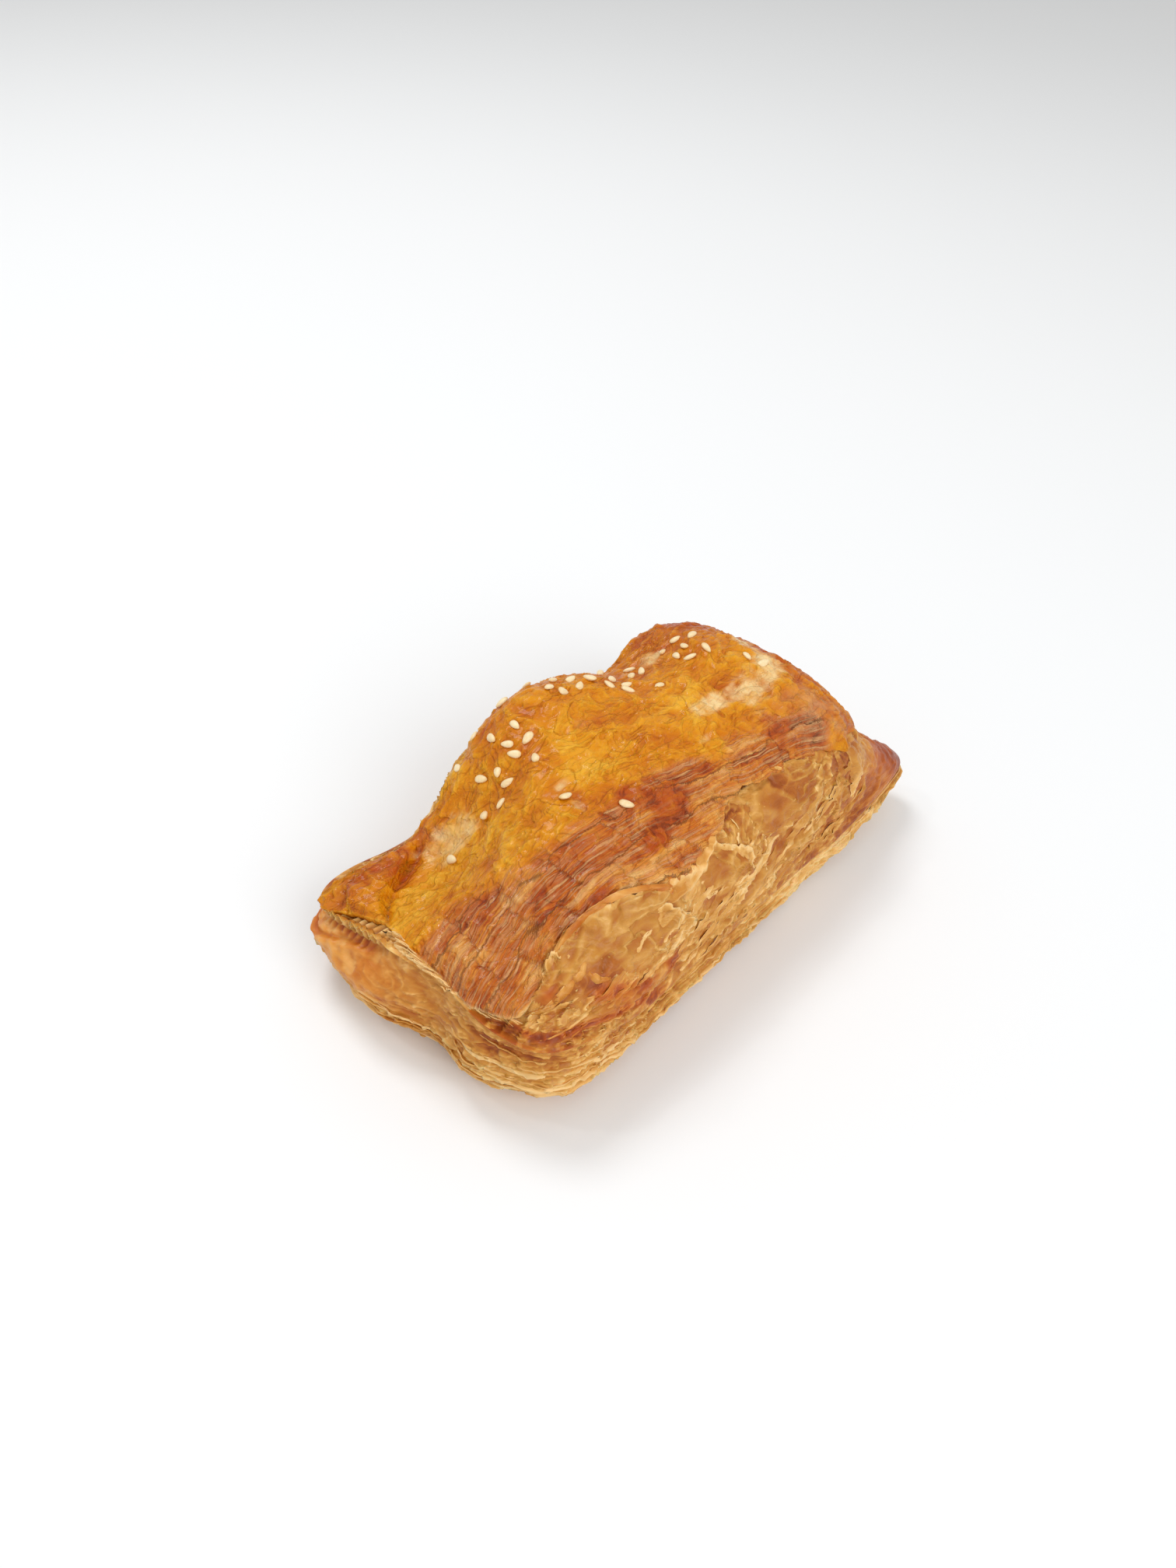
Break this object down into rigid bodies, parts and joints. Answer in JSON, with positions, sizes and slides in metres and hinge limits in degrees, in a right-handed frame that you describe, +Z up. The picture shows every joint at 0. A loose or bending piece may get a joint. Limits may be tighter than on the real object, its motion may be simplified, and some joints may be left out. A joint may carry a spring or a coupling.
{
  "type": "chicken puff pastry",
  "caption": "Baked oblong pocket of flaky layered pastry with a glazed domed top, torn flaky walls, pinched corners and sesame seeds, to be served whole.",
  "frame": {"origin": "middle of the overall box, on the plane that the uneven base rests on", "axes": "+X along the long side towards the long pinched corner, +Y towards the lumpy far side, +Z up through the crown"},
  "size_m": [0.1416, 0.0684, 0.0468],
  "materials": {
    "crust": null
  },
  "bodies": {
    "root": {"pastry": "crust"}
  },
  "joints": []
}
